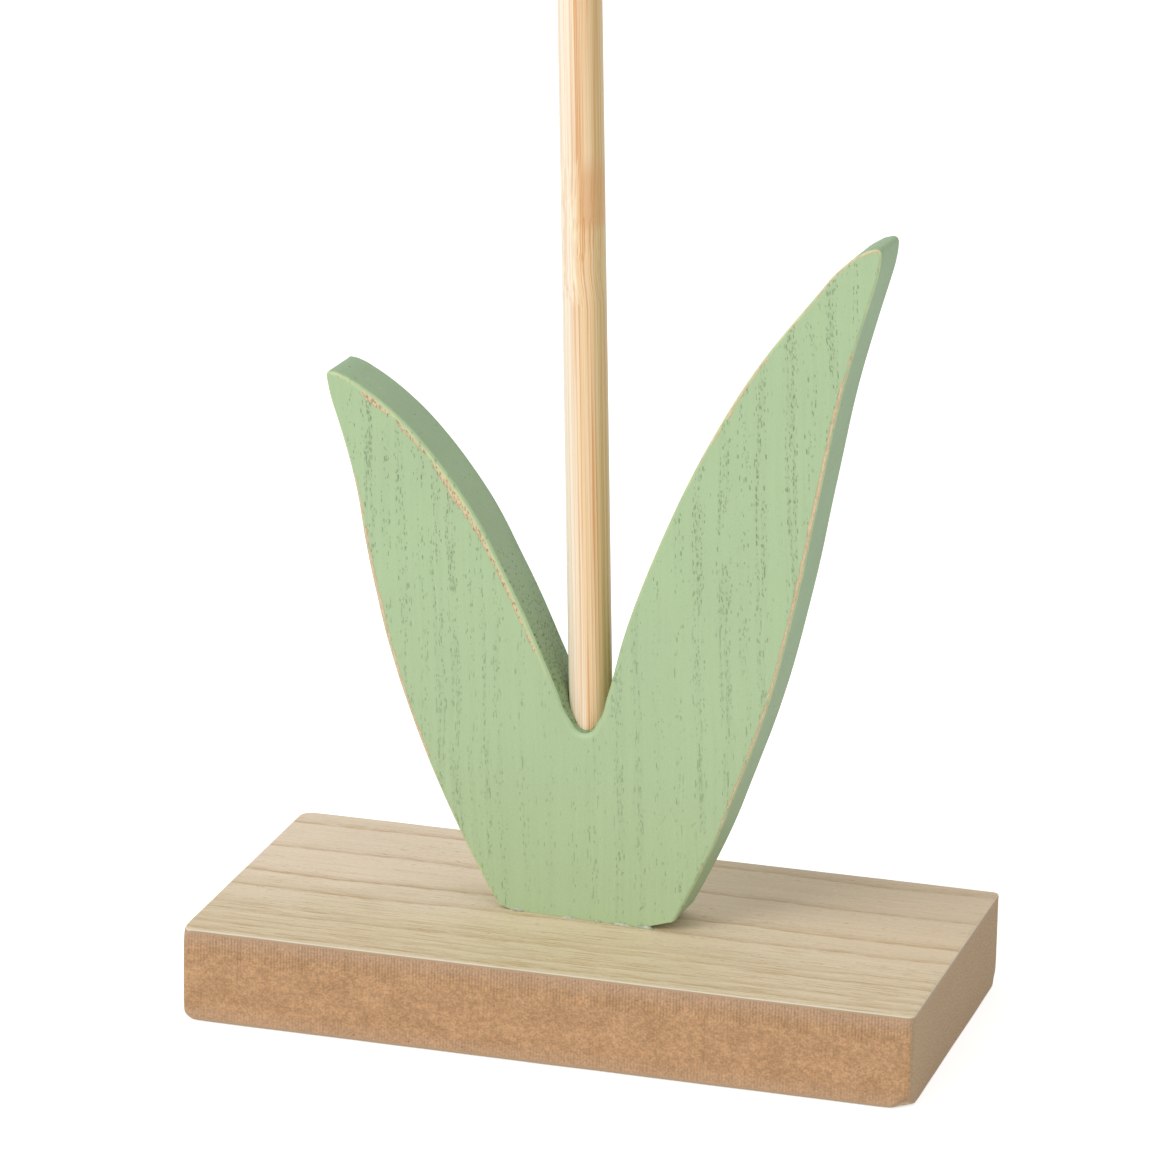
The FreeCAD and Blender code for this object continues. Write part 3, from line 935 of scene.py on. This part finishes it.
def raw_fibreboard(node, felt_light, felt_dark, dust, grey, speck):
    """Raw medium-density fibreboard: matt tan felt of short fibres with dark specks. Even upright saw marks
    show most near both faces, and the ends of the board are smoother and greyer than its long sides. The
    fibres are finer than the render shows, and are drawn as flecks of half a millimetre."""
    place = node("sheet")
    level = node("parts", place).node.outputs[2]
    out = node("ShaderNodeMath", {0: node("parts", node("metres"))}, operation="ABSOLUTE")
    felt = grain(node, place, (1.3, 0, 1.0), 3.0, 2)
    fine = grain(node, place, (0.5, 0, 0.42), 2.0, 3, 0.34, 0.66)
    clouds = grain(node, place, (6, 0, 4), 3.0, 4, 0.3, 0.7)
    at_end = node("range", out, (board_length / 2 - 0.7) * mm, (board_length / 2 - 0.2) * mm)
    at_corner = node("range", out, (board_length / 2 - 1.3) * mm, (board_length / 2 - 0.5) * mm)
    dusty = node("range", level, board_thickness - 4.5, board_thickness - 0.8, 0.0, 0.6)
    dusty = node("larger", dusty, node("range", level, 4, 1, 0.0, 0.4))

    drift = grain(node, place, (2, 0, 30), 2.0, 8, 0.3, 0.7, -1.4, 1.4)
    near_top = node("range", node("sum", level, drift), board_thickness - 6.5, board_thickness - 3.5)
    near_low = node("range", level, 5, 1.5, 0.0, 0.45)
    marked = node("range", node("larger", near_top, near_low), 0.0, 1.0, 0.28, 1.0)
    marked = node("product", marked, node("range", at_end, 0.0, 1.0, 1.0, 0.3))
    squashed = node("moved", place, None, (1, 0, 0.1))
    waves = {"Vector": squashed, "Scale": 0.1 * math.pi / saw_pitch, "Distortion": 1.4, "Detail Scale": 0.5}
    saw = node("ShaderNodeTexWave", waves).node.outputs["Fac"]
    cut = node("product", saw, grain(node, place, (1.6, 0, 7), 2.0, 6, 0.3, 0.6, 0.4, 1.0), marked)
    dots = scattered(node, place, (1.5, 1.5), 0.3, (0.04, 0.16), 0.0)
    colour = layered(
        node, felt_dark, (clouds, felt_light), (at_corner, 1.0, 1.06),
        (node("range", felt, 0.36, 0.64), 0.89, 1.08), (dusty, dust), (node("product", at_end, 0.85), grey),
        (fine, 0.87, 1.1), (cut, 1.06, 0.84), (node("product", dots, 0.6), speck),
    )
    relief = node("difference", node("product", felt, 0.4), node("product", cut, 0.5))
    return {"Base Color": colour, "Roughness": 0.8, "IOR": 1.5}, relief, 0.05


def bamboo(node, pale, amber, brown, painted_shade_olive, flame):
    """Machined bamboo rod, smooth and slightly waxy: long fibre lines, pale on one side and amber on the
    other and darkened to olive by painted shade on its right side, with a joint of the cane where the
    fibres flame and a stain lies over it."""
    place = node("sheet")
    parts = node("parts", place).node.outputs
    joint = node("range", parts[2], cane_joint - 8, cane_joint)
    joint = node("product", joint, node("range", parts[2], cane_joint + 22, cane_joint + 8))
    flow = node("noise", place, 1 / 6, 1.0).node.outputs["Color"]
    pushed = node("scaled", flow, node("product", joint, 0.9))
    warped = node("ShaderNodeVectorMath", {0: place, 1: pushed}, operation="ADD")
    lines = grain(node, warped, (0.5, 0.5, 110), 2.0, 1)
    fine = grain(node, warped, (0.24, 0.24, 60), 1.0, 2)
    side = node("sum", parts[0], grain(node, warped, (2.2, 2.2, 220), 1.0, 3, 0.2, 0.8, -1.2, 1.2))
    warm = node("range", side, -1.6, 0.9)
    marked = node("product", node("range", lines, 0.48, 0.6), node("range", warm, 0.0, 1.0, 0.3, 1.0))
    flames = grain(node, warped, (0.6, 0.6, 9), 1.0, 6, 0.5, 0.64, 0.0, 0.75)
    flames = node("product", flames, joint, node("range", side, 0.9, -0.4))
    above = node("range", parts[2], cane_joint + 6, cane_joint + 9)
    below = node("range", parts[2], cane_joint + 22, cane_joint + 16)
    stain = node("product", above, below, node("range", side, 0.3, 1.3, 0.0, 0.5))
    # The olive towards the rod's right side is painted shade.
    colour = layered(
        node, pale, (warm, amber), (marked, brown), (node("range", fine, 0.5, 0.72, 0.0, 0.4), brown),
        (node("range", fine, 0.5, 0.3, 0.0, 0.4), pale),
        (node("range", parts[0], 1.8, 3.4, 0.0, 0.55), painted_shade_olive), (flames, flame), (stain, brown),
    )
    relief = node("sum", node("product", fine, 0.6), node("product", lines, 0.6))
    return {"Base Color": colour, "Roughness": 0.42, "IOR": 1.5}, relief, 0.05


def clear_glue(node, dark, light):
    """Dried clear glue: milky drops with a soft shine."""
    haze = node("noise", node("metres"), 1 / (1.2 * mm), 3.0)
    colour = node("blend", node("range", haze, 0.35, 0.65), dark, light)
    return {"Base Color": colour, "Roughness": 0.3, "IOR": 1.49, "Transmission Weight": 0.35}, haze, 0.08


def zinc_steel(node, dark, light):
    """Zinc-plated steel of small screws: bright grey metal with faint stains."""
    stain = node("noise", node("metres"), 1 / (2.5 * mm), 3.0)
    colour = node("blend", node("range", stain, 0.35, 0.65), dark, light)
    rough = node("range", stain, 0.3, 0.7, 0.3, 0.45)
    return {"Base Color": colour, "Roughness": rough, "Metallic": 1.0}, stain, 0.01


def grown_mesh(name, shape, sizes, start, finish):
    """Plain mesh that a Geometry Nodes tree with named sizes makes from a start mesh."""
    tree = bpy.data.node_groups.new(name, "GeometryNodeTree")
    for way in ("OUTPUT", "INPUT"):
        tree.interface.new_socket(name="Geometry", in_out=way, socket_type="NodeSocketGeometry")
    for label in sizes:
        tree.interface.new_socket(name=label, in_out="INPUT", socket_type="NodeSocketFloat")
    node = partial(add, tree)
    grown = shape(node, tree.nodes.new("NodeGroupInput").outputs)
    dressed = node("GeometryNodeSetMaterial", {"Geometry": node("separate", grown), "Material": finish})
    fill(tree.nodes.new("NodeGroupOutput"), {0: dressed})
    holder = placed_object(name, start)
    modifier = holder.modifiers.new(name, "NODES")
    modifier.node_group = tree
    for item in tree.interface.items_tree:
        if item.in_out == "INPUT" and item.name in sizes:
            modifier[item.identifier] = sizes[item.name]
    return shaped_mesh(holder)


def rod_shape(node, given):
    """A round section along a straight line, with the low relief of the cane's fibres."""
    ends = (given["Bottom"], given["Top"])
    start, end = [node("joined", stem_offset, 0.0, level) for level in ends]
    line = node("GeometryNodeCurvePrimitiveLine", {"Start": start, "End": end})
    path = node("GeometryNodeResampleCurve", {"Curve": line, "Length": given["Step"]}, mode="LENGTH")
    ring = node("GeometryNodeCurvePrimitiveCircle", {"Resolution": stem_sides, "Radius": given["Radius"]})
    rod = node("GeometryNodeCurveToMesh", {"Curve": path, "Profile Curve": ring, "Fill Caps": True})
    place = node("position")
    stretched = node("ShaderNodeVectorMath", {0: place, 1: (1.1, 1.1, 1 / 70)}, operation="MULTIPLY")
    sunk = node("product", node("noise", stretched, 1.0, 2.0), given["Relief"], -1.0)
    shaped = node("reshaped", rod, node("scaled", node("outward"), sunk))
    stored = {"Geometry": shaped, "Name": "sheet", "Value": place}
    return node("GeometryNodeStoreNamedAttribute", stored, data_type="FLOAT_VECTOR")


def stem_piece(finish):
    """The bamboo rod."""
    sizes = {"Bottom": stem_bottom, "Top": stem_top, "Radius": stem_diameter / 2, "Relief": 0.05, "Step": 1.2}
    mesh = grown_mesh("bamboo rod", rod_shape, sizes, bpy.data.meshes.new("rod start"), finish)
    mesh.transform(Matrix.Scale(mm, 4) @ stance)
    finish_piece("stem", mesh, finish)


def drops_shape(node, given):
    """Uneven lumps at the given points, flat on the board and against the leaf."""
    reach = node("GeometryNodeInputNamedAttribute", {"Name": "reach"}, data_type="FLOAT_VECTOR")
    ball = node("GeometryNodeMeshIcoSphere", {"Radius": 1.0, "Subdivisions": 5})
    placed = {"Points": given["Geometry"], "Instance": ball, "Scale": reach}
    real = node("separate", node("GeometryNodeInstanceOnPoints", placed))
    place = node("position")
    per_lump = node("ShaderNodeMath", {0: 1.0, 1: given["Lump"]}, operation="DIVIDE")
    swell = node("product", node("difference", node("noise", place, per_lump, 2.0), 0.62), given["Uneven"])
    uneven = node("reshaped", real, node("scaled", node("outward"), swell))
    parts = node("parts", place).node.outputs
    before = node("ShaderNodeMath", {0: parts[1], 1: given["Face"]}, operation="MINIMUM")
    return node("reshaped", uneven, None, node("joined", parts[0], before, node("larger", parts[2], 0.0)))


def glue_piece(finish):
    """Drops of glue squeezed out in front of the foot."""
    points = bpy.data.meshes.new("glue places")
    half_foot = foot_width / 2
    points.from_pydata([(share * half_foot, -sheet_thickness / 2, 0) for share, *_ in glue_drops], [], [])
    reaches = points.attributes.new("reach", "FLOAT_VECTOR", "POINT")
    reaches.data.foreach_set("vector", [size for _, *sizes_of in glue_drops for size in sizes_of])
    sizes = {"Lump": 1.3, "Uneven": 0.5, "Face": -sheet_thickness / 2 + 0.03}
    mesh = grown_mesh("glue drops", drops_shape, sizes, points, finish)
    mesh.transform(Matrix.Scale(mm, 4) @ on_board)
    finish_piece("foot_glue", mesh, finish)


def screw_seats():
    """Middles of the screws on the underside, in line with the turned foot."""
    return [turned @ Vector((side * screw_spacing / 2, 0, 0)) for side in (-1, 1)]


def screw_holes():
    """Tools for the holes and countersinks through the board, and for the holes cut in the leaf's core."""
    rim = screw_head_diameter / 2 + screw_rim_play
    wide = screw_diameter / 2 + screw_hole_play
    tight = screw_diameter / 2 + screw_pilot_play
    cone_end = screw_sink + rim - wide
    through = ((rim, -overrun), (rim, screw_sink), (wide, cone_end), (wide, board_thickness + overrun))
    pilot = ((tight, 0), (tight, screw_sink + screw_length + screw_pilot_spare))
    return [[round_mesh(profile, seat) for seat in screw_seats()] for profile in (through, pilot)]


def stem_socket():
    """Tool for the stem's blind holes in the leaf and the blossom."""
    radius = stem_diameter / 2 + stem_fit
    ends = (stem_bottom - socket_end_gap, stem_top + socket_end_gap)
    tool = round_mesh([(radius, end) for end in ends], (stem_offset, 0, 0))
    tool.transform(Matrix.Scale(mm, 4) @ stance @ Matrix.Scale(1 / mm, 4))
    return tool


def recess_arm(seat, across, along):
    """Tool for one arm of the cross in a screw's head, narrower at its bottom."""
    rings = []
    for run, share in ((-overrun, 1 + recess_taper), (recess_depth, 1 - recess_taper)):
        level = screw_sink + run
        x, y = across / 2 * share, along / 2 * share
        rings.append([(-x, -y, level), (x, -y, level), (x, y, level), (-x, y, level)])
    return capped_mesh(rings, seat)


def screws_piece(finish):
    """Two countersunk screws, each with a crossed recess, a plain shank and a thread up to its point."""
    rim = screw_head_diameter / 2
    radius = screw_diameter / 2
    head = rim - radius
    levels = [0.0, head_edge, head]
    levels += list(np.arange(head + thread_step, screw_length - thread_step / 2, thread_step))
    turns = np.arange(screw_sides) / screw_sides
    rings = []
    for level in levels:
        size = rim - max(level, head_edge) if level < head else radius - thread_height
        begun = min(1, max(0, (level - screw_shank) / thread_pitch))
        phase = (level / thread_pitch - turns) % 1
        crest = np.clip(1 - np.abs(phase - 0.5) / thread_share, 0, 1) * thread_height * begun
        taper = min(1, (screw_length - level) / screw_point)
        around = (size + crest) * taper * np.exp(2j * np.pi * turns)
        rings.append(np.stack([around.real, around.imag, np.full(screw_sides, screw_sink + level)], axis=1))
    body = np.concatenate(rings + [[(0, 0, screw_sink + screw_length)]])
    tip = len(body) - 1
    faces = [tuple(range(screw_sides))] + walls(screw_sides, len(levels))
    for index in range(screw_sides):
        faces.append((tip, tip - screw_sides + index, tip - screw_sides + (index + 1) % screw_sides))
    points, both_faces, tools = [], [], []
    for number, seat in enumerate(screw_seats()):
        points.append(body + np.array(seat))
        both_faces += [tuple(corner + number * len(body) for corner in face) for face in faces]
        tools.append(recess_arm(seat, recess_span, recess_slot))
        tools.append(recess_arm(seat, recess_slot, recess_span))
    mesh = bored(plain_mesh("base_screws", np.concatenate(points), both_faces), tools)
    finish_piece("base_screws", mesh, finish)


def set_camera():
    """Camera of the photograph's view, as its place, its three axes and its lens."""
    place = Vector((304.524, -1067.235, 425.858)) * mm
    right = Vector((0.95878528, 0.28350886, 0.01880215))
    upward = Vector((-0.10096252, 0.27808982, 0.95523433))
    backward = Vector((0.26558871, -0.91776292, 0.29525219))
    focal_pixels = 6278
    picture_pixels = 1160
    lens = bpy.data.cameras.new("camera")
    lens.sensor_width = 36.0
    lens.lens = lens.sensor_width * focal_pixels / picture_pixels
    lens.clip_start = 0.05
    lens.clip_end = 20.0
    camera = placed_object("camera", lens)
    aimed = Matrix((right, upward, backward)).transposed().to_4x4()
    camera.matrix_world = Matrix.Translation(place) @ aimed
    bpy.context.scene.camera = camera


def soft_lamp(name, place, power):
    """Square studio lamp that looks at the object."""
    lamp = bpy.data.lights.new(name, "AREA")
    lamp.shape = "SQUARE"
    lamp.size = lamp_size
    lamp.energy = power
    holder = placed_object(name, lamp)
    direction = Vector(lamp_aim) - Vector(place)
    holder.matrix_world = Matrix.Translation(place) @ direction.to_track_quat("-Z", "Y").to_matrix().to_4x4()


def shown_directly(node):
    """1 for what the camera, a reflection or a clear piece sees, and 0 for light that falls on the object."""
    path = node("ShaderNodeLightPath", {}).node.outputs
    seen = node("sum", path["Is Camera Ray"], path["Is Glossy Ray"])
    return node("sum", seen, path["Is Transmission Ray"], use_clamp=True)


def set_studio():
    """White room with soft light, and a pale floor that keeps a faint shadow."""
    world = bpy.data.worlds.new("studio")
    bpy.context.scene.world = world
    world.use_nodes = True
    node = partial(add, world.node_tree)
    level = node("range", shown_directly(node), 0.0, 1.0, room_light, 1.0)
    fill(world.node_tree.nodes["Background"], {"Color": (1, 1, 1, 1), "Strength": level})

    soft_lamp("key lamp", (-0.75, -1.15, 1.1), key_power)
    soft_lamp("fill lamp", (1.1, -0.9, 0.6), fill_power)

    material = bpy.data.materials.new("white floor")
    material.use_nodes = True
    tree = material.node_tree
    tree.nodes.remove(tree.nodes["Principled BSDF"])
    node = partial(add, tree)
    matt = node("ShaderNodeBsdfDiffuse", {"Color": (floor_white, floor_white, floor_white, 1)})
    glow = node("ShaderNodeEmission", {"Strength": node("product", shown_directly(node), floor_glow)})
    both = node("ShaderNodeAddShader", {0: matt, 1: glow})
    fill(tree.nodes["Material Output"], {"Surface": both})
    mesh = bpy.data.meshes.new("floor")
    sides = ((-1, -1), (1, -1), (1, 1), (-1, 1))
    corners = [(x * floor_reach, y * floor_reach, -floor_gap) for x, y in sides]
    mesh.from_pydata(corners, [], [(0, 1, 2, 3)])
    mesh.materials.append(material)
    placed_object("floor", mesh)


# Each painted veneer's second colour is its pale rim line, partly thinned paint and partly a painted
# highlight.
leaf_finishes = (
    (new_finish("satin paint on open-pored veneer", painted_veneer,
                "#B0C79B", "#D3DDA0", "#667A52", "#EBCDA8", "#AC7A60"), "leaf_paint"),
    (new_finish("paint on sawn fibreboard", painted_fibreboard, "#9EB791", "#87A073", "#55613F"),
     "leaf_edge_paint"),
)
blossom_finishes = (
    (new_finish("rose satin paint on veneer", painted_veneer,
                "#CF8E8C", "#E3B9A4", "#A3605F", "#DDB892", "#A9785A"), "blossom_paint"),
    (new_finish("rose paint on sawn fibreboard", painted_fibreboard, "#BC7C7B", "#A86C68", "#7A4644"),
     "blossom_edge_paint"),
)
board_woods = ("#EDDAC0", "#E1CCAD", "#E0CEAE", "#AE8548")
# The top skin's pale rim colour, #E2D9C6, is partly sanded wood and partly a painted highlight.
board_finishes = (
    (new_finish("sanded paulownia veneer", partial(plain_veneer, 0.8), *board_woods, "#E2D9C6", "#B79B7C"),
     "base_wood_skin"),
    (new_finish("raw sawn fibreboard", raw_fibreboard, "#C49A71", "#B48C64", "#C4A387", "#B09878", "#6E5340"),
     "base_fibreboard"),
    # The bottom skin's rim is darker than its wood.
    (new_finish("sanded veneer with a darker rim", partial(plain_veneer, 1.0),
                *board_woods, "#BFA07C", "#B79B7C"), "base_wood_skin"),
)
cane = new_finish("machined bamboo", bamboo, "#FCEFD8", "#F3D0A0", "#DB9E62", "#CFB87C", "#FFF3CF")
glue = new_finish("dried clear glue", clear_glue, "#A9B58D", "#DEDFCB")
screw_metal = new_finish("zinc-plated steel", zinc_steel, "#A9ABA8", "#C9CBC7")

socket = stem_socket()
board_holes, pilot_holes = screw_holes()
leaf_tables = ((left_outer_wear, inner_wear, right_outer_wear), rim_spares, side_roughness)
blossom_tables = ((blossom_wear,) * 3, (level_all_along,) * 3, (level_all_along,) * 3)
sheet_pieces("leaf", *leaf_rows(), 0.0, leaf_tables, 11, leaf_finishes, [socket] + pilot_holes)
sheet_pieces("blossom", blossom_rows(), [], blossom_rise, blossom_tables, 51, blossom_finishes, [socket])
board_pieces(board_finishes, board_holes)
stem_piece(cane)
glue_piece(glue)
screws_piece(screw_metal)

set_camera()
set_studio()
bpy.context.scene.view_settings.view_transform = "Standard"
